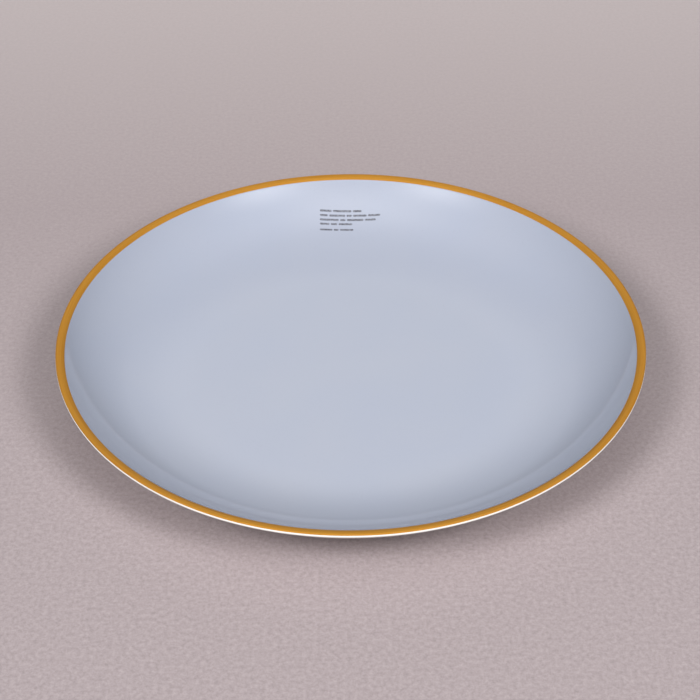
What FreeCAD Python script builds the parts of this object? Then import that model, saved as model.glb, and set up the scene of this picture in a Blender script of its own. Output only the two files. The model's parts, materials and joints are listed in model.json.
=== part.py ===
"""China dinner plate: a coupe shape on a foot ring, with a coloured face, a white underside and a gilded lip.

Every layer that is put on separately is its own piece: the fired body, the coloured glaze of the face, the
white glaze of the underside and of the foot recess, the gold band on the lip, and the printed care lines.
All of them are half-sections turned about Z. In a section, x is the distance from the axis and y the height
above the table. The origin is on the table, in the middle of the foot ring. -Y is the front, +Y the back.
"""

import FreeCAD
import Part

import math
import os

import Sketcher
from FreeCAD import Vector

FIRST, LAST, CENTRE = 1, 2, 3  # the points of a line or an arc, as Sketcher numbers them
X_AXIS, Z_AXIS = -1, -2  # the sketch's own axes
ORIGIN = (X_AXIS, FIRST)

DIMENSIONS = (
    # alias, millimetres or degrees, what it is
    ("plate_diameter", 270, "outermost diameter, on the white edge of the lip"),
    ("plate_height", 31, "table to the top of the lip, under the gold"),
    ("well_diameter", 142, "flat middle of the face"),
    ("well_thickness", 4, "glazed thickness in the middle"),
    ("wall_lower_radius", 116, "arc of the rising wall next to the well"),
    ("wall_upper_radius", 54, "tighter arc of the wall next to the lip"),
    ("lip_inner_radius", 4.8, "the lip's gentle round towards the face"),
    ("lip_outer_radius", 0.95, "the lip's tight round towards the outside"),
    ("underside_radius", 78, "arc of the underside, from the foot to the lip"),
    ("foot_height", 3, "table to the recess inside the foot ring"),
    ("foot_outer_diameter", 152, "foot ring's outside, where it meets the underside"),
    ("foot_inner_diameter", 143, "foot ring's inside, where it meets the recess"),
    ("foot_fillet", 1.8, "round between the foot ring and what it stands out of"),
    ("foot_edge_radius", 0.8, "round on both edges of the bare foot"),
    ("foot_draft", 9, "degrees by which both sides of the foot ring lean in"),
    ("glaze_thickness", 0.25, "every glaze layer"),
    ("glaze_line", 0.9, "height at which the glaze stops above the table"),
    ("gold_thickness", 0.1, "gold layer on the lip"),
    ("gold_inner_diameter", 261.9, "edge of the gold band towards the face"),
    ("gold_outer_angle", 34, "degrees above level at which the gold stops outside"),
    ("print_thickness", 0.04, "fired ink on the glaze"),
    ("print_left", -15.5, "x at which every printed line starts"),
    ("print_back", 119.0, "y of the far side of the first printed line"),
    ("print_pitch", 2.15, "from one printed line to the next, in plan"),
    ("print_gap", 1.0, "extra space before the last printed line"),
    ("print_line_height", 0.95, "height of a printed dash, in plan"),
    ("print_word_space", 0.75, "space between two printed dashes"),
)
# Lengths of the dashes of each printed line, in millimetres. They stand for small print and spell nothing.
PRINTED_LINES = (
    (6.0, 9.4, 4.5),
    (4.0, 8.2, 2.6, 6.9, 6.3),
    (9.6, 2.8, 8.4, 5.6),
    (4.9, 3.2, 7.0),
    (6.4, 2.4, 6.8),
)

# Expressions that several pieces share.
LIP_X = "(dims.plate_diameter / 2 - dims.lip_outer_radius)"
WELL_X = "(dims.well_diameter / 2)"
WELL_Z = "(dims.foot_height + dims.well_thickness)"
UNDERSIDE_CENTRE_Z = "(dims.foot_height + dims.underside_radius)"
FOOT_FILLET_X = "(dims.foot_outer_diameter / 2 + dims.foot_fillet)"
RECESS_FILLET_X = "(dims.foot_inner_diameter / 2 - dims.foot_fillet)"
GLAZE = "dims.glaze_thickness"
SURFACE = "0"  # a chain that follows the finished surface has no inset
INK_TOP = "(-dims.print_thickness)"  # and one that stands above it has a negative one


def make_sheet(doc):
    """The driving dimensions, one row each: name, value and what it is."""
    sheet = doc.addObject("Spreadsheet::Sheet", "dims")
    for row, (alias, value, meaning) in enumerate(DIMENSIONS, start=1):
        sheet.set(f"A{row}", alias)
        sheet.set(f"B{row}", str(value))
        sheet.set(f"C{row}", meaning)
        sheet.setAlias(f"B{row}", alias)
    doc.recompute()
    return sheet


def polar(centre, radius, degrees):
    angle = math.radians(degrees)
    return centre[0] + radius * math.cos(angle), centre[1] + radius * math.sin(angle)


def heading(start, end):
    """Direction from start to end, in degrees from the x axis."""
    return math.degrees(math.atan2(end[1] - start[1], end[0] - start[0]))


def crossing(one, one_radius, two, two_radius):
    """Where two circles cross, on the right of the way from the first centre to the second."""
    apart = math.dist(one, two)
    along = (apart**2 + one_radius**2 - two_radius**2) / (2 * apart)
    aside = math.sqrt(one_radius**2 - along**2)
    way = heading(one, two)
    return polar(polar(one, along, way), aside, way - 90)


class Section:
    """A closed half-section in a body's own XZ plane, turned about Z when it is finished."""

    def __init__(self, doc, label):
        self.doc = doc
        self.body = doc.addObject("PartDesign::Body", label)
        self.body.Label = label
        self.sketch = self.body.newObject("Sketcher::SketchObject", label + "_section")
        planes = {f.Role: f for f in self.body.Origin.OriginFeatures}
        self.sketch.AttachmentSupport = [(planes["XZ_Plane"], "")]
        self.sketch.MapMode = "FlatFace"

    def value(self, expression):
        """What an expression over the sheet comes to, as a plain number."""
        return float(self.sketch.evalExpression(expression))

    def line(self, start, end):
        return self.sketch.addGeometry(Part.LineSegment(Vector(*start, 0), Vector(*end, 0)), False)

    def arc(self, centre, radius, first, last):
        """An arc that runs anticlockwise from first to last, in degrees."""
        circle = Part.Circle(Vector(*centre, 0), Vector(0, 0, 1), radius)
        arc = Part.ArcOfCircle(circle, math.radians(first), math.radians(last))
        return self.sketch.addGeometry(arc, False)

    def rule(self, kind, *refs):
        self.sketch.addConstraint(Sketcher.Constraint(kind, *refs))

    def size(self, kind, *refs, by):
        """A dimension that follows the sheet."""
        number = self.value(by)
        if kind == "Angle":
            number, by = math.radians(number), f"({by}) * 1 deg"
        index = self.sketch.addConstraint(Sketcher.Constraint(kind, *refs, number))
        self.sketch.setExpression(f"Constraints[{index}]", by)

    def place(self, geometry, point, x=None, z=None):
        """Fixes a point's distance from the axis, its height, or both."""
        if x is not None:
            self.size("DistanceX", *ORIGIN, geometry, point, by=x)
        if z is not None:
            self.size("DistanceY", *ORIGIN, geometry, point, by=z)

    def smooth(self, one, one_end, other, other_end):
        """Two ends meet without a corner."""
        self.rule("Tangent", one, one_end, other, other_end)

    def close(self, one, one_end, other, other_end):
        """A straight edge from one end to another."""
        points = [self.sketch.getPoint(*end) for end in ((one, one_end), (other, other_end))]
        edge = self.line(*((p.x, p.y) for p in points))
        self.rule("Coincident", one, one_end, edge, FIRST)
        self.rule("Coincident", edge, LAST, other, other_end)
        return edge

    def turn(self):
        """Turns the section about Z and returns the body."""
        revolution = self.body.newObject("PartDesign::Revolution", self.body.Label + "_turned")
        revolution.Profile = self.sketch
        revolution.ReferenceAxis = (self.sketch, ["V_Axis"])
        revolution.Angle = 360
        self.body.Tip = revolution
        self.doc.recompute()
        return self.body


def face_chain(section, inset):
    """The face, from the axis to the top of the lip, an inset below the finished surface: the flat well, the two
    arcs of the wall and the lip's inner round. Returns the well's line and the lip's arc, whose FIRST is its
    top."""
    depth = section.value(inset)
    well_z = section.value(WELL_Z)
    lower_radius = section.value("dims.wall_lower_radius")
    upper_radius = section.value("dims.wall_upper_radius")
    lip_radius = section.value("dims.lip_inner_radius")
    lower_centre = (section.value(WELL_X), well_z + lower_radius)
    lip_centre = (section.value(LIP_X), section.value("dims.plate_height") - lip_radius)
    upper_centre = crossing(lower_centre, lower_radius - upper_radius, lip_centre, upper_radius + lip_radius)
    change = heading(lower_centre, upper_centre)
    meeting = heading(upper_centre, lip_centre)

    well = section.line((0, well_z - depth), (lower_centre[0], well_z - depth))
    lower = section.arc(lower_centre, lower_radius + depth, -90, change)
    upper = section.arc(upper_centre, upper_radius + depth, change, meeting)
    lip = section.arc(lip_centre, lip_radius - depth, 90, meeting + 180)
    section.rule("PointOnObject", well, FIRST, Z_AXIS)
    section.rule("Horizontal", well)
    section.place(well, LAST, z=f"{WELL_Z} - {inset}")
    section.smooth(well, LAST, lower, FIRST)
    section.place(lower, CENTRE, x=WELL_X)
    section.size("Radius", lower, by=f"dims.wall_lower_radius + {inset}")
    section.smooth(lower, LAST, upper, FIRST)
    section.size("Radius", upper, by=f"dims.wall_upper_radius + {inset}")
    section.smooth(upper, LAST, lip, LAST)
    section.place(lip, CENTRE, x=LIP_X, z="dims.plate_height - dims.lip_inner_radius")
    section.size("Radius", lip, by=f"dims.lip_inner_radius - {inset}")
    section.rule("Vertical", lip, FIRST, lip, CENTRE)
    return well, lip


def underside_chain(section, inset, lip=None):
    """The outside, from the top of the lip to the foot ring's outer side: the lip's outer round, the long arc
    of the underside, the fillet and the side. It joins the face's lip arc, or stands alone without one.
    Returns the lip's outer arc, whose LAST is its top, and the side, whose FIRST is its lower end."""
    depth = section.value(inset)
    edge_radius = section.value("dims.lip_outer_radius")
    edge_centre = (section.value(LIP_X), section.value("dims.plate_height") - edge_radius)
    under_radius = section.value("dims.underside_radius")
    under_z = section.value(UNDERSIDE_CENTRE_Z)
    drop = under_z - edge_centre[1]
    under_centre = (edge_centre[0] - math.sqrt((under_radius - edge_radius) ** 2 - drop**2), under_z)
    fillet_radius = section.value("dims.foot_fillet")
    fillet_x = section.value(FOOT_FILLET_X)
    reach = fillet_x - under_centre[0]
    fillet_centre = (fillet_x, under_z - math.sqrt((under_radius + fillet_radius) ** 2 - reach**2))
    draft = section.value("dims.foot_draft")
    lip_end = heading(under_centre, edge_centre)
    foot_end = heading(under_centre, fillet_centre)
    side_top = polar(fillet_centre, fillet_radius + depth, 180 - draft)
    side_bottom = (side_top[0] - side_top[1] * math.tan(math.radians(draft)), 0)

    edge = section.arc(edge_centre, edge_radius - depth, lip_end, 90)
    under = section.arc(under_centre, under_radius - depth, foot_end, lip_end)
    fillet = section.arc(fillet_centre, fillet_radius + depth, foot_end + 180, 180 - draft)
    side = section.line(side_bottom, side_top)
    if lip is None:
        section.place(edge, CENTRE, x=LIP_X, z="dims.plate_height - dims.lip_outer_radius")
        section.rule("Vertical", edge, LAST, edge, CENTRE)
    else:
        section.smooth(edge, LAST, lip, FIRST)
    section.size("Radius", edge, by=f"dims.lip_outer_radius - {inset}")
    section.smooth(edge, FIRST, under, LAST)
    section.place(under, CENTRE, z=UNDERSIDE_CENTRE_Z)
    section.size("Radius", under, by=f"dims.underside_radius - {inset}")
    section.smooth(under, FIRST, fillet, FIRST)
    section.place(fillet, CENTRE, x=FOOT_FILLET_X)
    section.size("Radius", fillet, by=f"dims.foot_fillet + {inset}")
    section.smooth(fillet, LAST, side, LAST)
    section.size("Angle", side, by="90 - dims.foot_draft")
    return edge, side


def recess_chain(section, inset):
    """The hollow inside the foot ring: its flat ceiling, the fillet and the foot ring's inner side.
    Returns the ceiling, whose FIRST is on the axis, and the side, whose FIRST is its lower end."""
    depth = section.value(inset)
    ceiling_z = section.value("dims.foot_height")
    fillet_radius = section.value("dims.foot_fillet")
    fillet_centre = (section.value(RECESS_FILLET_X), ceiling_z - fillet_radius)
    draft = section.value("dims.foot_draft")
    side_top = polar(fillet_centre, fillet_radius + depth, draft)
    side_bottom = (side_top[0] + side_top[1] * math.tan(math.radians(draft)), 0)

    ceiling = section.line((0, ceiling_z + depth), (fillet_centre[0], ceiling_z + depth))
    fillet = section.arc(fillet_centre, fillet_radius + depth, draft, 90)
    side = section.line(side_bottom, side_top)
    section.rule("PointOnObject", ceiling, FIRST, Z_AXIS)
    section.rule("Horizontal", ceiling)
    section.place(ceiling, LAST, z=f"dims.foot_height + {inset}")
    section.smooth(ceiling, LAST, fillet, LAST)
    section.place(fillet, CENTRE, x=RECESS_FILLET_X)
    section.size("Radius", fillet, by=f"dims.foot_fillet + {inset}")
    section.smooth(fillet, FIRST, side, LAST)
    section.size("Angle", side, by="90 + dims.foot_draft")
    return ceiling, side


def stop_glaze(section, outer_side, inner_side):
    """Ends a glaze layer above the table with a bevel, where it was wiped off the foot."""
    section.place(outer_side, FIRST, z=f"dims.glaze_line + {GLAZE}")
    section.place(inner_side, FIRST, z="dims.glaze_line")
    section.close(outer_side, FIRST, inner_side, FIRST)


def porcelain_body(doc):
    """The fired body with its foot ring. It is bare only on the foot, where it stands on the table."""
    section = Section(doc, "porcelain_body")
    well, lip = face_chain(section, GLAZE)
    _, outer_side = underside_chain(section, GLAZE, lip)
    ceiling, inner_side = recess_chain(section, GLAZE)
    section.close(ceiling, FIRST, well, FIRST)

    radius = section.value("dims.foot_edge_radius")
    draft = section.value("dims.foot_draft")
    sides = [section.sketch.getPoint(side, FIRST) for side in (outer_side, inner_side)]
    outer_x, inner_x = sides[0].x - radius, sides[1].x + radius
    outer_edge = section.arc((outer_x, radius), radius, -90, -draft)
    inner_edge = section.arc((inner_x, radius), radius, 180 + draft, 270)
    contact = section.line((inner_x, 0), (outer_x, 0))
    section.smooth(outer_side, FIRST, outer_edge, LAST)
    section.smooth(outer_edge, FIRST, contact, LAST)
    section.smooth(contact, FIRST, inner_edge, LAST)
    section.smooth(inner_edge, FIRST, inner_side, FIRST)
    section.rule("Horizontal", contact)
    section.rule("PointOnObject", contact, FIRST, X_AXIS)
    for edge in (outer_edge, inner_edge):
        section.size("Radius", edge, by="dims.foot_edge_radius")
    return section.turn()


def face_layer(doc, label, top, bottom):
    """A layer over the whole face, between two insets."""
    section = Section(doc, label)
    well, lip = face_chain(section, top)
    well_below, lip_below = face_chain(section, bottom)
    section.close(lip, FIRST, lip_below, FIRST)
    section.close(well_below, FIRST, well, FIRST)
    return section.turn()


def face_glaze(doc):
    """The coloured glaze of the face. It runs under the gold as far as the top of the lip."""
    return face_layer(doc, "face_glaze", SURFACE, GLAZE)


def underside_glaze(doc):
    """The white glaze of the outside, from the top of the lip down to the foot."""
    section = Section(doc, "underside_glaze")
    edge, side = underside_chain(section, SURFACE)
    edge_below, side_below = underside_chain(section, GLAZE)
    section.close(edge, LAST, edge_below, LAST)
    stop_glaze(section, side, side_below)
    return section.turn()


def recess_glaze(doc):
    """The white glaze inside the foot ring."""
    section = Section(doc, "recess_glaze")
    ceiling, side = recess_chain(section, SURFACE)
    ceiling_below, side_below = recess_chain(section, GLAZE)
    section.close(ceiling, FIRST, ceiling_below, FIRST)
    stop_glaze(section, side, side_below)
    return section.turn()


def gold_band(doc):
    """The gold over the lip, from its edge on the face round to the outer shoulder."""
    section = Section(doc, "gold_band")
    inner_radius = section.value("dims.lip_inner_radius")
    outer_radius = section.value("dims.lip_outer_radius")
    thickness = section.value("dims.gold_thickness")
    lip_x, top = section.value(LIP_X), section.value("dims.plate_height")
    inner_centre, outer_centre = (lip_x, top - inner_radius), (lip_x, top - outer_radius)
    first = section.value("dims.gold_outer_angle")
    last = math.degrees(math.acos((section.value("dims.gold_inner_diameter") / 2 - lip_x) / inner_radius))

    under_inner = section.arc(inner_centre, inner_radius, 90, last)
    over_inner = section.arc(inner_centre, inner_radius + thickness, 90, last)
    under_outer = section.arc(outer_centre, outer_radius, first, 90)
    over_outer = section.arc(outer_centre, outer_radius + thickness, first, 90)
    section.place(under_inner, CENTRE, x=LIP_X, z="dims.plate_height - dims.lip_inner_radius")
    section.size("Radius", under_inner, by="dims.lip_inner_radius")
    section.place(under_inner, LAST, x="dims.gold_inner_diameter / 2")
    section.rule("Coincident", over_inner, CENTRE, under_inner, CENTRE)
    section.size("Radius", over_inner, by="dims.lip_inner_radius + dims.gold_thickness")
    for arc in (under_inner, over_inner):
        section.rule("Vertical", arc, FIRST, arc, CENTRE)
    section.smooth(under_inner, FIRST, under_outer, LAST)
    section.smooth(over_inner, FIRST, over_outer, LAST)
    section.size("Radius", under_outer, by="dims.lip_outer_radius")
    section.size("Radius", over_outer, by="dims.lip_outer_radius + dims.gold_thickness")
    face_edge = section.close(under_inner, LAST, over_inner, LAST)
    shoulder_edge = section.close(under_outer, FIRST, over_outer, FIRST)
    section.rule("PointOnObject", under_inner, CENTRE, face_edge)
    section.rule("PointOnObject", under_outer, CENTRE, shoulder_edge)
    section.size("Angle", shoulder_edge, by="dims.gold_outer_angle")
    return section.turn()


def care_print(doc):
    """Small print on the far side of the wall, as plain dashes cut from a thin layer. They spell nothing."""
    cutters = []
    for row, words in enumerate(PRINTED_LINES):
        gap = "dims.print_gap" if row == len(PRINTED_LINES) - 1 else "0"
        front = f"dims.print_back - {row} * dims.print_pitch - {gap} - dims.print_line_height"
        for column, length in enumerate(words):
            box = doc.addObject("Part::Box", f"dash_{row}_{column}")
            before = sum(words[:column])
            box.Length = length
            box.setExpression("Width", "dims.print_line_height")
            box.setExpression("Height", "dims.plate_height")
            left = f"dims.print_left + {before} + {column} * dims.print_word_space"
            box.setExpression("Placement.Base.x", left)
            box.setExpression("Placement.Base.y", front)
            cutters.append(box)
    dashes = doc.addObject("Part::Compound", "dashes")
    dashes.Links = cutters
    printed = doc.addObject("Part::Common", "care_print")
    printed.Base = face_layer(doc, "ink_layer", INK_TOP, SURFACE)
    printed.Tool = dashes
    doc.recompute()
    return printed


def check(doc, pieces):
    """Stops if anything failed to recompute, a section isn't fully constrained, or a piece isn't sound."""
    for item in doc.Objects:
        if {"Invalid", "Error"} & set(item.State):
            raise RuntimeError(f"{item.Label} failed: {item.State}")
        if item.isDerivedFrom("Sketcher::SketchObject") and item.solve() != 0:
            raise RuntimeError(f"{item.Label} has conflicting or redundant rules")
        if item.isDerivedFrom("Sketcher::SketchObject") and not item.FullyConstrained:
            raise RuntimeError(f"{item.Label} can still move")
    for piece in pieces:
        if piece.Shape.isNull() or not piece.Shape.isValid() or not piece.Shape.Solids:
            raise RuntimeError(f"{piece.Label} isn't a valid solid")


def main():
    doc = FreeCAD.newDocument("dinner_plate")
    make_sheet(doc)
    makers = (porcelain_body, face_glaze, underside_glaze, recess_glaze, gold_band, care_print)
    pieces = [make(doc) for make in makers]
    doc.recompute()
    check(doc, pieces)
    os.makedirs("parts", exist_ok=True)
    for piece in pieces:
        piece.Shape.exportStep(f"parts/{piece.Label}.step")
        box = piece.Shape.optimalBoundingBox(False)
        print(
            f"{piece.Label}: {len(piece.Shape.Solids)} solids, {piece.Shape.Volume:.1f} mm3,"
            f" z {box.ZMin:.3f} to {box.ZMax:.3f}, radius {box.XMax:.3f}"
        )


main()
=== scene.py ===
"""China dinner plate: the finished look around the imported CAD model.

Every layer of the plate is lathed again here, finely enough for close views, with the small unevenness
that fired porcelain has, and each stands for its CAD node. Lengths are in metres. Angles are in radians,
except for the lights' azimuths and elevations, which are in degrees. In an outline, the first number is
the distance from the plate's axis and the second the height above the table.
"""

import json
import math

import bpy
from mathutils import Euler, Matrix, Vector


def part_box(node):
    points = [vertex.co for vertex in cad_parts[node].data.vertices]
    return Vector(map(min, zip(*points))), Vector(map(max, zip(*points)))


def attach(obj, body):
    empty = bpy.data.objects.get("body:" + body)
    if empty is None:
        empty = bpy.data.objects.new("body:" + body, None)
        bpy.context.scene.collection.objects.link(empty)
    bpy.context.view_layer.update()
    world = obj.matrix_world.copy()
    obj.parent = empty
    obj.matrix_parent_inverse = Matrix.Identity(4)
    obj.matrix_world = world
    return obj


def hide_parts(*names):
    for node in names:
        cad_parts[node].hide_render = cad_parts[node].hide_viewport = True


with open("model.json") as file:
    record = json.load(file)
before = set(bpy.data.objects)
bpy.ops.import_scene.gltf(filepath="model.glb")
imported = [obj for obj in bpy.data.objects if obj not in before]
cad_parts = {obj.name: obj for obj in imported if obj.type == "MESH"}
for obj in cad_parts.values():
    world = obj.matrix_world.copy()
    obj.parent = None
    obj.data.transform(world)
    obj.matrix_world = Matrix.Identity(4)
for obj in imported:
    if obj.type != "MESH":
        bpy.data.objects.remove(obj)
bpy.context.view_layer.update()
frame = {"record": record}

MM = 0.001


# ---------------------------------------------------------------- sizes

def top_of(node):
    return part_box(node)[1].z


def reach_of(node):
    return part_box(node)[1].x


MOUNTS = {mount["name"]: mount for mount in frame["record"]["mounts"]}
PLATE_RADIUS = reach_of("underside_glaze")
PLATE_TOP = top_of("face_glaze")
LIP_X = reach_of("face_glaze")
LIP_OUTER = PLATE_RADIUS - LIP_X
GLAZE = PLATE_TOP - top_of("porcelain_body")
GOLD = top_of("gold_band") - PLATE_TOP
FOOT_HEIGHT = top_of("recess_glaze") - GLAZE
GLAZE_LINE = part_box("recess_glaze")[0].z
WELL_Z = MOUNTS["well_floor"]["pos_m"][2]
PRINT_LOW, PRINT_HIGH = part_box("care_print")

# Sizes of the section that no box gives.
WELL_X = 71 * MM
WALL_LOWER_RADIUS = 116 * MM
WALL_UPPER_RADIUS = 54 * MM
LIP_INNER = 4.8 * MM
UNDERSIDE_RADIUS = 78 * MM
FOOT_OUTER = 76 * MM
FOOT_INNER = 71.5 * MM
FOOT_FILLET = 1.8 * MM
FOOT_EDGE = 0.8 * MM
FOOT_DRAFT = math.radians(9)
GOLD_EDGE_X = 130.95 * MM
GOLD_SHOULDER = math.radians(34)

TURNS = 400  # segments round every lathed piece
FINE = math.radians(0.9)  # step along a long arc
TIGHT = math.radians(6)  # step round a small radius
FLAT_STEPS = 14  # from the axis to the edge of a flat stretch
SHARP = math.radians(35)  # a corner from this angle up stays sharp
ON_AXIS = 1e-9  # a point nearer the axis than this is a pole

# How far the fired plate leaves the true shape. The first two are shares of the radius.
OVAL = 0.0008
THREE_LOBES = 0.0003
SAG = 0.16 * MM


# ---------------------------------------------------------------- outlines

def arc(centre, radius, start, end, step):
    """Points of an arc, both ends included, in the direction from start to end."""
    count = max(2, math.ceil(abs(end - start) / step))
    angles = [start + (end - start) * i / count for i in range(count + 1)]
    return [(centre[0] + radius * math.cos(a), centre[1] + radius * math.sin(a)) for a in angles]


def heading(start, end):
    return math.atan2(end[1] - start[1], end[0] - start[0])


def straight(start, end, count):
    """Points of a straight run, without its last one."""
    return [
        (start[0] + (end[0] - start[0]) * i / count, start[1] + (end[1] - start[1]) * i / count)
        for i in range(count)
    ]


def wall_centres():
    """Centres of the wall's two arcs and of the lip's inner round. The lower arc leaves the well level, and
    the upper one, which is tighter, is smooth into both the lower one and the lip."""
    lower = Vector((WELL_X, WELL_Z + WALL_LOWER_RADIUS))
    lip = Vector((LIP_X, PLATE_TOP - LIP_INNER))
    apart = (lip - lower).length
    from_lower = WALL_LOWER_RADIUS - WALL_UPPER_RADIUS
    from_lip = WALL_UPPER_RADIUS + LIP_INNER
    along = (apart**2 + from_lower**2 - from_lip**2) / (2 * apart)
    aside = math.sqrt(from_lower**2 - along**2)
    direction = (lip - lower) / apart
    return lower, lower + direction * along - direction.orthogonal() * aside, lip


def face_outline(inset):
    """Axis to the top of the lip, an inset below the finished surface."""
    lower_centre, upper_centre, lip_centre = wall_centres()
    change = heading(lower_centre, upper_centre)
    meeting = heading(upper_centre, lip_centre)
    well = straight((0, WELL_Z - inset), (WELL_X, WELL_Z - inset), FLAT_STEPS)
    lower = arc(lower_centre, WALL_LOWER_RADIUS + inset, -math.pi / 2, change, FINE)
    upper = arc(upper_centre, WALL_UPPER_RADIUS + inset, change, meeting, FINE)
    lip = arc(lip_centre, LIP_INNER - inset, meeting + math.pi, math.pi / 2, TIGHT / 2)
    return well + lower + upper[1:] + lip[1:]


def underside_outline(inset, bottom):
    """Top of the lip to the foot's outer side, down to the height bottom."""
    edge_centre = (LIP_X, PLATE_TOP - LIP_OUTER)
    under_z = FOOT_HEIGHT + UNDERSIDE_RADIUS
    run = math.sqrt((UNDERSIDE_RADIUS - LIP_OUTER) ** 2 - (under_z - edge_centre[1]) ** 2)
    under_centre = (LIP_X - run, under_z)
    fillet_x = FOOT_OUTER + FOOT_FILLET
    drop = math.sqrt((UNDERSIDE_RADIUS + FOOT_FILLET) ** 2 - (fillet_x - under_centre[0]) ** 2)
    fillet_centre = (fillet_x, under_z - drop)
    lip_end = heading(under_centre, edge_centre)
    foot_end = heading(under_centre, fillet_centre)
    edge = arc(edge_centre, LIP_OUTER - inset, math.pi / 2, lip_end, TIGHT)
    under = arc(under_centre, UNDERSIDE_RADIUS - inset, lip_end, foot_end, FINE)
    fillet = arc(fillet_centre, FOOT_FILLET + inset, foot_end + math.pi, math.pi - FOOT_DRAFT, TIGHT)
    side_top = fillet[-1]
    side_bottom = (side_top[0] - (side_top[1] - bottom) * math.tan(FOOT_DRAFT), bottom)
    return edge + under[1:] + fillet[1:] + [side_bottom]


def recess_outline(inset, bottom):
    """Axis to the foot's inner side, down to the height bottom."""
    fillet_centre = (FOOT_INNER - FOOT_FILLET, FOOT_HEIGHT - FOOT_FILLET)
    ceiling = straight((0, FOOT_HEIGHT + inset), (fillet_centre[0], FOOT_HEIGHT + inset), FLAT_STEPS)
    fillet = arc(fillet_centre, FOOT_FILLET + inset, math.pi / 2, FOOT_DRAFT, TIGHT)
    side_top = fillet[-1]
    side_bottom = (side_top[0] + (side_top[1] - bottom) * math.tan(FOOT_DRAFT), bottom)
    return ceiling + fillet + [side_bottom]


def foot_outline(outer_side, inner_side):
    """Round under the bare foot, from the outer side's end to the inner side's."""
    rise = FOOT_EDGE * (1 - math.sin(FOOT_DRAFT))
    outer_x = outer_side[0] - (outer_side[1] - rise) * math.tan(FOOT_DRAFT) - FOOT_EDGE * math.cos(FOOT_DRAFT)
    inner_x = inner_side[0] + (inner_side[1] - rise) * math.tan(FOOT_DRAFT) + FOOT_EDGE * math.cos(FOOT_DRAFT)
    outer = arc((outer_x, FOOT_EDGE), FOOT_EDGE, -FOOT_DRAFT, -math.pi / 2, TIGHT)
    inner = arc((inner_x, FOOT_EDGE), FOOT_EDGE, -math.pi / 2, -math.pi + FOOT_DRAFT, TIGHT)
    return outer + inner


# ---------------------------------------------------------------- meshes

def unevenness(x, y, z):
    """How fired porcelain leaves the true shape: an oval, slightly dished sag that grows towards the lip."""
    radius = math.hypot(x, y)
    if radius < ON_AXIS:
        return Vector((x, y, z))
    angle = math.atan2(y, x)
    share = min(1, radius / PLATE_RADIUS) ** 2
    pull = OVAL * (1 + math.cos(2 * angle + 0.6)) + THREE_LOBES * (1 + math.cos(3 * angle - 1.1))
    sag = SAG * (1 + math.cos(2 * angle - 1.0)) * share * min(1, z / PLATE_TOP)
    shrink = 1 - pull * share
    return Vector((x * shrink, y * shrink, z - sag))


def lathe(name, outline):
    """A closed solid turned about Z. Outline points on the axis close into poles."""
    vertices, rings = [], []
    for radius, height in outline:
        if radius < ON_AXIS:
            rings.append([len(vertices)])
            vertices.append(unevenness(0, 0, height))
            continue
        rings.append(list(range(len(vertices), len(vertices) + TURNS)))
        for turn in range(TURNS):
            angle = 2 * math.pi * turn / TURNS
            vertices.append(unevenness(radius * math.cos(angle), radius * math.sin(angle), height))
    faces = []
    for one, two in zip(rings, rings[1:] + rings[:1]):
        for turn in range(TURNS):
            after = (turn + 1) % TURNS
            near = [one[turn % len(one)], one[after % len(one)]]
            far = [two[after % len(two)], two[turn % len(two)]]
            corners = list(dict.fromkeys(near + far))
            if len(corners) > 2:
                faces.append(corners)
    return finished(name, vertices, faces)


def finished(name, vertices, faces):
    """A mesh object with outward normals, smooth but for its true corners."""
    mesh = bpy.data.meshes.new(name)
    mesh.from_pydata(vertices, [], faces)
    mesh.validate()
    piece = bpy.data.objects.new(name, mesh)
    bpy.context.scene.collection.objects.link(piece)
    bpy.context.view_layer.objects.active = piece
    bpy.ops.object.mode_set(mode="EDIT")
    bpy.ops.mesh.select_all(action="SELECT")
    bpy.ops.mesh.normals_make_consistent(inside=False)
    bpy.ops.object.mode_set(mode="OBJECT")
    mesh.shade_smooth()
    mesh.set_sharp_from_angle(angle=SHARP)
    return piece


def build_body():
    face = face_outline(GLAZE)
    outside = underside_outline(GLAZE, GLAZE_LINE)
    inside = recess_outline(GLAZE, GLAZE_LINE)
    foot = foot_outline(outside[-1], inside[-1])
    return lathe("body", face + outside[1:] + foot + inside[::-1])


def build_face_glaze():
    return lathe("face_coat", face_outline(0) + face_outline(GLAZE)[::-1])


def build_underside_glaze():
    outside = underside_outline(0, GLAZE_LINE + GLAZE)
    return lathe("underside_coat", outside + underside_outline(GLAZE, GLAZE_LINE)[::-1])


def build_recess_glaze():
    outside = recess_outline(0, GLAZE_LINE + GLAZE)
    return lathe("recess_coat", outside + recess_outline(GLAZE, GLAZE_LINE)[::-1])


def build_gold():
    """The gold band. Its arcs follow the lip's two rounds, from its edge on the face to its outer shoulder."""
    lip_centre, edge_centre = (LIP_X, PLATE_TOP - LIP_INNER), (LIP_X, PLATE_TOP - LIP_OUTER)
    start = math.acos((GOLD_EDGE_X - LIP_X) / LIP_INNER)

    def layer(thickness):
        inner = arc(lip_centre, LIP_INNER + thickness, start, math.pi / 2, TIGHT / 2)
        outer = arc(edge_centre, LIP_OUTER + thickness, math.pi / 2, GOLD_SHOULDER, TIGHT)
        return inner + outer[1:]

    return lathe("gold", layer(0) + layer(GOLD)[::-1])


# ---------------------------------------------------------------- print

# The printed dashes spell nothing. Their lengths are in millimetres, one row for each line.
PRINTED_LINES = (
    (6.0, 9.4, 4.5),
    (4.0, 8.2, 2.6, 6.9, 6.3),
    (9.6, 2.8, 8.4, 5.6),
    (4.9, 3.2, 7.0),
    (6.4, 2.4, 6.8),
)
PRINT_PITCH = 2.15 * MM
PRINT_GAP = 1.0 * MM
WORD_SPACE = 0.75 * MM
LINE_HEIGHT = 0.95 * MM
INK = 0.04 * MM
END_STEPS = 8  # segments round the end of a dash


def wall_height(radius):
    """Height of the upper wall, which carries the print."""
    centre = wall_centres()[1]
    return centre.y - math.sqrt(WALL_UPPER_RADIUS**2 - (radius - centre.x) ** 2)


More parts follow.
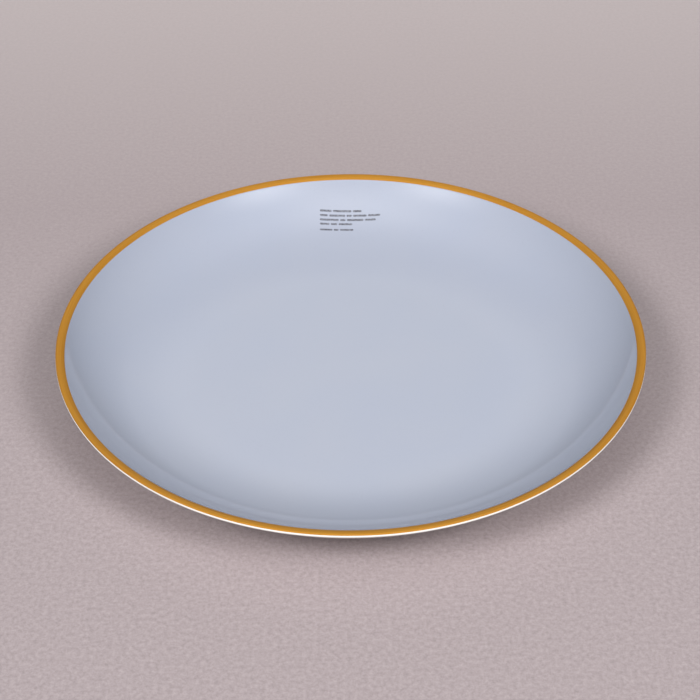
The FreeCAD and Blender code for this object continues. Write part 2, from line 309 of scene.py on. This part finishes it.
def build_print():
    """Every dash is a thin closed bar on the wall, with rounded ends."""
    vertices, faces = [], []
    for row, words in enumerate(PRINTED_LINES):
        gap = PRINT_GAP if row == len(PRINTED_LINES) - 1 else 0
        middle = PRINT_HIGH.y - LINE_HEIGHT / 2 - row * PRINT_PITCH - gap
        left = PRINT_LOW.x
        for word in words:
            add_dash(vertices, faces, left, left + word * MM, middle)
            left += word * MM + WORD_SPACE
    return finished("small_print", vertices, faces)


def add_dash(vertices, faces, left, right, middle):
    radius = LINE_HEIGHT / 2
    step = math.pi / END_STEPS
    right_end = arc((right - radius, middle), radius, -math.pi / 2, math.pi / 2, step)
    left_end = arc((left + radius, middle), radius, math.pi / 2, math.pi * 3 / 2, step)
    outline = right_end + left_end
    first = len(vertices)
    for lift in (-INK / 2, INK):
        for x, y in outline:
            point = unevenness(x, y, wall_height(math.hypot(x, y)))
            vertices.append(point + Vector((0, 0, lift)))
    size = len(outline)
    faces.append([first + i for i in range(size)])
    faces.append([first + size + i for i in range(size)])
    for i in range(size):
        after = (i + 1) % size
        faces.append([first + i, first + after, first + size + after, first + size + i])


# ---------------------------------------------------------------- materials

def new_material(name):
    """A Principled material with its texture coordinates in metres of the row frame."""
    material = bpy.data.materials.new(name)
    material.use_nodes = True
    tree = material.node_tree
    shader = next(node for node in tree.nodes if node.type == "BSDF_PRINCIPLED")
    place = tree.nodes.new("ShaderNodeTexCoord").outputs["Object"]
    return material, tree, shader, place


def noise_at(tree, place, size, detail=3, roughness=0.5):
    """Noise whose features are about size across."""
    node = tree.nodes.new("ShaderNodeTexNoise")
    node.inputs["Scale"].default_value = 1 / size
    node.inputs["Detail"].default_value = detail
    node.inputs["Roughness"].default_value = roughness
    tree.links.new(place, node.inputs["Vector"])
    return node.outputs["Fac"]


def maths(tree, operation, one, two=0.0):
    """The result of a sum on one or two values, each a number or a socket."""
    node = tree.nodes.new("ShaderNodeMath")
    node.operation = operation
    for socket, value in zip(node.inputs, (one, two)):
        if isinstance(value, (int, float)):
            socket.default_value = value
        else:
            tree.links.new(value, socket)
    return node.outputs["Value"]


def spread(tree, value, low, high, to_low, to_high):
    """Value from low to high becomes to_low to to_high, and goes no further."""
    node = tree.nodes.new("ShaderNodeMapRange")
    for name, number in (("From Min", low), ("From Max", high), ("To Min", to_low), ("To Max", to_high)):
        node.inputs[name].default_value = number
    tree.links.new(value, node.inputs["Value"])
    return node.outputs["Result"]


def blend_colours(tree, share, one, two):
    """The colour one where share is 0 and two where it is 1."""
    node = tree.nodes.new("ShaderNodeMix")
    node.data_type = "RGBA"
    tree.links.new(share, node.inputs["Factor"])
    for socket, value in ((node.inputs["A"], one), (node.inputs["B"], two)):
        if isinstance(value, tuple):
            socket.default_value = (*value, 1)
        else:
            tree.links.new(value, socket)
    return node.outputs["Result"]


def bump(tree, shader, height, depth):
    """Relief of that depth in metres, where height goes from 0 to 1."""
    node = tree.nodes.new("ShaderNodeBump")
    node.inputs["Strength"].default_value = 1
    node.inputs["Distance"].default_value = depth
    tree.links.new(height, node.inputs["Height"])
    tree.links.new(node.outputs["Normal"], shader.inputs["Normal"])


def distance_from_axis(tree, place):
    """How far a place is from the plate's axis, and the node that gives its X, Y and Z."""
    parts = tree.nodes.new("ShaderNodeSeparateXYZ")
    tree.links.new(place, parts.inputs["Vector"])
    across = maths(tree, "POWER", parts.outputs["X"], 2)
    along = maths(tree, "POWER", parts.outputs["Y"], 2)
    return maths(tree, "SQRT", maths(tree, "ADD", across, along)), parts


def shade(colour, factor):
    """The colour made darker by a factor."""
    return tuple(channel * factor for channel in colour)


def glaze_material(name, colour, pooled):
    """Glossy glaze: it clouds a little where it pooled, ripples finely and holds a few pinholes."""
    material, tree, shader, place = new_material(name)
    cloud = spread(tree, noise_at(tree, place, 45 * MM), 0.3, 0.7, 0, 1)
    tone = blend_colours(tree, cloud, colour, pooled)
    fleck = spread(tree, noise_at(tree, place, 0.9 * MM, 1), 0.66, 0.74, 0, 0.35)
    tone = blend_colours(tree, fleck, tone, shade(colour, 0.9))
    cells = tree.nodes.new("ShaderNodeTexVoronoi")
    cells.inputs["Scale"].default_value = 1 / (14 * MM)
    tree.links.new(place, cells.inputs["Vector"])
    pinhole = spread(tree, cells.outputs["Distance"], 0.006, 0.012, 1, 0)
    tone = blend_colours(tree, maths(tree, "MULTIPLY", pinhole, 0.5), tone, shade(colour, 0.35))
    tree.links.new(tone, shader.inputs["Base Color"])
    wear = spread(tree, noise_at(tree, place, 18 * MM, 5, 0.65), 0.35, 0.75, 0.075, 0.125)
    tree.links.new(wear, shader.inputs["Roughness"])
    shader.inputs["IOR"].default_value = 1.52
    ripple = noise_at(tree, place, 7 * MM, 2)
    bump(tree, shader, maths(tree, "SUBTRACT", ripple, pinhole), 0.006 * MM)
    return material


def blue_glaze():
    return glaze_material("blue_grey_glaze", (0.368, 0.393, 0.471), (0.357, 0.386, 0.471))


def white_glaze():
    return glaze_material("white_glaze", (0.90, 0.88, 0.84), (0.87, 0.86, 0.82))


def gold_material():
    """Fired gold: banding strokes run round the lip, and its outermost edge is worn through in places."""
    material, tree, shader, place = new_material("fired_gold")
    radius, parts = distance_from_axis(tree, place)
    along, across = 30, 4000  # strokes in a metre, round the lip and across it
    stroke = tree.nodes.new("ShaderNodeCombineXYZ")
    tree.links.new(maths(tree, "MULTIPLY", parts.outputs["X"], along), stroke.inputs["X"])
    tree.links.new(maths(tree, "MULTIPLY", parts.outputs["Y"], along), stroke.inputs["Y"])
    tree.links.new(maths(tree, "MULTIPLY", radius, across), stroke.inputs["Z"])
    streaks = noise_at(tree, stroke.outputs["Vector"], 1, 4, 0.6)
    deep, bright, bared = (0.53, 0.225, 0.026), (0.63, 0.31, 0.046), (0.82, 0.80, 0.76)
    tone = blend_colours(tree, spread(tree, streaks, 0.3, 0.7, 0, 1), deep, bright)
    edge = spread(tree, radius, PLATE_RADIUS - 0.45 * MM, PLATE_RADIUS - 0.15 * MM, 0, 1)
    chips = spread(tree, noise_at(tree, place, 2.2 * MM, 4, 0.7), 0.66, 0.70, 0, 1)
    worn = maths(tree, "MULTIPLY", edge, chips)
    tree.links.new(blend_colours(tree, worn, tone, bared), shader.inputs["Base Color"])
    tree.links.new(spread(tree, worn, 0, 1, 0.45, 0), shader.inputs["Metallic"])
    tree.links.new(spread(tree, streaks, 0.3, 0.7, 0.54, 0.66), shader.inputs["Roughness"])
    shader.inputs["Specular IOR Level"].default_value = 0.2
    bump(tree, shader, streaks, 0.004 * MM)
    return material


def bisque_material():
    """The bare foot: fine-grained, off-white, greyed where it has slid over tables."""
    material, tree, shader, place = new_material("bare_bisque")
    shaded, lit, scuff = (0.74, 0.70, 0.64), (0.84, 0.81, 0.76), (0.42, 0.40, 0.38)
    grain = noise_at(tree, place, 0.35 * MM, 4, 0.6)
    tone = blend_colours(tree, spread(tree, grain, 0.35, 0.65, 0, 1), shaded, lit)
    parts = tree.nodes.new("ShaderNodeSeparateXYZ")
    tree.links.new(place, parts.inputs["Vector"])
    low = spread(tree, parts.outputs["Z"], 0, 0.25 * MM, 1, 0)
    patches = spread(tree, noise_at(tree, place, 9 * MM, 4), 0.4, 0.65, 0.05, 0.6)
    scuffed = maths(tree, "MULTIPLY", low, patches)
    tree.links.new(blend_colours(tree, scuffed, tone, scuff), shader.inputs["Base Color"])
    tree.links.new(spread(tree, scuffed, 0, 0.6, 0.72, 0.5), shader.inputs["Roughness"])
    bump(tree, shader, grain, 0.03 * MM)
    return material


def ink_material():
    """Fired ink, thinner in places."""
    material, tree, shader, place = new_material("fired_ink")
    thin = spread(tree, noise_at(tree, place, 0.7 * MM, 3, 0.6), 0.35, 0.7, 0, 1)
    tone = blend_colours(tree, thin, (0.07, 0.07, 0.085), (0.26, 0.275, 0.32))
    tree.links.new(tone, shader.inputs["Base Color"])
    shader.inputs["Roughness"].default_value = 0.3
    return material


def floor_material():
    """Plain paper, halfway between a pale tone and a dark one. The pale tone is paler towards the back, which
    is painted light on the floor, and the grain, which moves the mix to either side, is strongest in front."""
    material, tree, shader, place = new_material("paper_floor")
    # front is the paper's own colour; back is that colour with painted light, for the paler floor farther back
    front, back, dark = (0.552, 0.474, 0.483), (0.832, 0.744, 0.739), (0.16, 0.13, 0.135)
    parts = tree.nodes.new("ShaderNodeSeparateXYZ")
    tree.links.new(place, parts.inputs["Vector"])
    # painted light: the paper's pale tone grows paler towards the back
    painted_light_towards_back = spread(tree, parts.outputs["Y"], 0.15, 0.42, 0, 1)
    paper_with_painted_light = blend_colours(tree, painted_light_towards_back, front, back)
    grain = spread(tree, noise_at(tree, place, 2 * MM, 4, 0.8), 0.3, 0.7, -1, 1)
    strength = spread(tree, parts.outputs["Y"], -0.1, 0.3, 0.18, 0.04)
    darkness = maths(tree, "ADD", maths(tree, "MULTIPLY", grain, strength), 0.5)
    tree.links.new(blend_colours(tree, darkness, paper_with_painted_light, dark), shader.inputs["Base Color"])
    shader.inputs["Roughness"].default_value = 0.85
    bump(tree, shader, darkness, 0.1 * MM)
    return material


# ---------------------------------------------------------------- stage

FLOOR_HALF = 3

CAMERA_DISTANCE = 0.850
CAMERA_ELEVATION = math.radians(37.32)
CAMERA_LENS = 95.14  # millimetres, as the sensor's width is
CAMERA_SENSOR = 36
CAMERA_DIP = math.radians(0.564)
CAMERA_YAW = math.radians(0.03)
CAMERA_ROLL = math.radians(-0.3)

KEY_ELEVATION = 42
KEY_SIZE = 0.8
KEY_RADIANCE = 20
KEYS = (("key_left", -40), ("key_right", 40))  # name and azimuth
LAMP_DISTANCE = 2.6
STUDIO_RADIANCE = 0.02
GLOWS = (
    # azimuth and elevation in degrees, tightness, radiance
    (180, 36, 40, 1.05),
    (180, 12, 10, 0.1),
    (0, 74, 14, 1.7),
    (-40, 44, 40, 3.5),
    (40, 44, 40, 3.5),
)


def add_camera():
    data = bpy.data.cameras.new("camera")
    data.sensor_width = CAMERA_SENSOR
    data.lens = CAMERA_LENS
    camera = bpy.data.objects.new("camera", data)
    bpy.context.scene.collection.objects.link(camera)
    aim = Vector((0, 0, PLATE_TOP))
    back = Vector((0, -math.cos(CAMERA_ELEVATION), math.sin(CAMERA_ELEVATION)))
    camera.location = aim + back * CAMERA_DISTANCE
    tilt = math.pi / 2 - CAMERA_ELEVATION - CAMERA_DIP
    turn = Euler((tilt, 0, CAMERA_YAW)).to_matrix() @ Euler((0, 0, CAMERA_ROLL)).to_matrix()
    camera.rotation_euler = turn.to_euler()
    bpy.context.scene.camera = camera


def from_origin(azimuth, elevation, distance):
    """A place in the studio. Azimuth 0 is the camera's side of the plate, and positive is to its right."""
    turn, lift = math.radians(azimuth), math.radians(elevation)
    level = distance * math.cos(lift)
    return Vector((level * math.sin(turn), -level * math.cos(turn), distance * math.sin(lift)))


def add_softbox(name, azimuth, elevation, size, radiance):
    """A square area light that faces the plate. The plate doesn't mirror its hard edges: a glow in the same
    direction stands in for them."""
    data = bpy.data.lights.new(name, "AREA")
    data.shape = "SQUARE"
    data.size = size
    data.energy = radiance * math.pi * size**2
    lamp = bpy.data.objects.new(name, data)
    lamp.visible_glossy = False
    bpy.context.scene.collection.objects.link(lamp)
    lamp.location = from_origin(azimuth, elevation, LAMP_DISTANCE)
    lamp.rotation_euler = lamp.location.to_track_quat("Z", "Y").to_euler()


def add_floor():
    half = FLOOR_HALF
    corners = [(-half, -half, 0), (half, -half, 0), (half, half, 0), (-half, half, 0)]
    mesh = bpy.data.meshes.new("floor")
    mesh.from_pydata(corners, [], [[0, 1, 2, 3]])
    floor = bpy.data.objects.new("floor", mesh)
    bpy.context.scene.collection.objects.link(floor)
    floor.data.materials.append(floor_material())


def add_world():
    """A dim studio with soft glows: two beyond the plate, which its well reflects, one overhead and one at
    each softbox."""
    world = bpy.data.worlds.new("studio")
    bpy.context.scene.world = world
    world.use_nodes = True
    tree = world.node_tree
    background = tree.nodes["Background"]
    background.inputs["Color"].default_value = (1, 1, 1, 1)
    direction = tree.nodes.new("ShaderNodeTexCoord").outputs["Generated"]
    light = STUDIO_RADIANCE
    for azimuth, elevation, tightness, radiance in GLOWS:
        closeness = tree.nodes.new("ShaderNodeVectorMath")
        closeness.operation = "DOT_PRODUCT"
        tree.links.new(direction, closeness.inputs[0])
        closeness.inputs[1].default_value = from_origin(azimuth, elevation, 1)
        falloff = maths(tree, "MULTIPLY", maths(tree, "SUBTRACT", closeness.outputs["Value"], 1), tightness)
        glow = maths(tree, "MULTIPLY", maths(tree, "EXPONENT", falloff), radiance)
        light = maths(tree, "ADD", glow, light)
    tree.links.new(light, background.inputs["Strength"])


PIECES = (
    (build_body, "porcelain_body", "bare_porcelain", bisque_material),
    (build_face_glaze, "face_glaze", "coloured_glaze", blue_glaze),
    (build_underside_glaze, "underside_glaze", "white_glaze", white_glaze),
    (build_recess_glaze, "recess_glaze", "white_glaze", white_glaze),
    (build_gold, "gold_band", "gold", gold_material),
    (build_print, "care_print", "ink", ink_material),
)


def main():
    for build, node, slot, make_material in PIECES:
        piece = build()
        piece.data.materials.append(make_material())
        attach(piece, "root")
        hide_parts(node)
    add_floor()
    add_world()
    for name, azimuth in KEYS:
        add_softbox(name, azimuth, KEY_ELEVATION, KEY_SIZE, KEY_RADIANCE)
    add_camera()
    bpy.context.scene.view_settings.view_transform = "Standard"


main()
